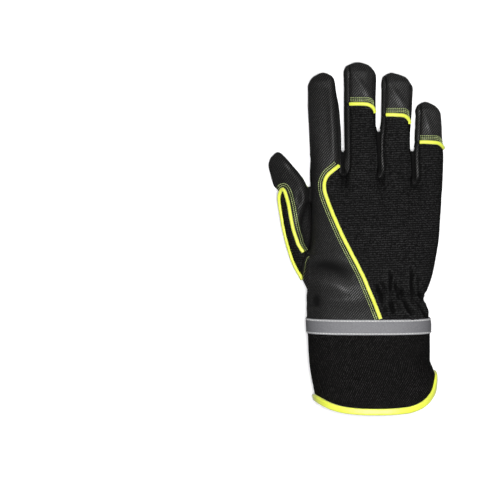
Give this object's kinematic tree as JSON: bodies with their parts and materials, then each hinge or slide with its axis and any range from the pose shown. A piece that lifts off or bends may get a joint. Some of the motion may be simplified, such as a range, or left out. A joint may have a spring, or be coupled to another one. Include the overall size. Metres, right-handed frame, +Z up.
{
  "type": "insulated mechanic glove",
  "caption": "Padded right-hand work glove with a knit back, leather palm and fingertips, yellow piping, reflective wrist tape and a notched gauntlet cuff.",
  "frame": {"origin": "on the surface that the glove lies on, under the middle of its bounding box", "axes": "+Y towards the fingertips, -X towards the thumb, +Z up out of the back of the hand"},
  "size_m": [0.133, 0.265, 0.0485],
  "materials": {
    "leather": "black synthetic leather with a fine slanting emboss, half dull",
    "stretch_knit": "dull black stretch knit with fine cross ribs",
    "neoprene": "black neoprene faced with fine jersey, dull",
    "yellow_trim": "bright yellow woven tape and cord",
    "reflective_tape": "grey reflective tape with fine grain"
  },
  "bodies": {
    "root": {"palm_panel": "leather", "thumb_palm_panel": "leather", "index_back_panel": "leather", "middle_cap": "leather", "ring_cap": "leather", "little_cap": "leather", "index_middle_gusset": "leather", "middle_ring_gusset": "leather", "ring_little_gusset": "leather", "thumb_back_panel": "leather", "heel_patch": "leather", "knuckle_patch": "leather", "thumb_patch": "leather", "back_panel": "stretch_knit", "thumb_inset": "stretch_knit", "cuff": "neoprene", "hem_binding": "yellow_trim", "back_piping": "yellow_trim", "middle_cap_piping": "yellow_trim", "ring_cap_piping": "yellow_trim", "little_cap_piping": "yellow_trim", "thumb_piping": "yellow_trim", "reflective_band": "reflective_tape"}
  },
  "joints": []
}
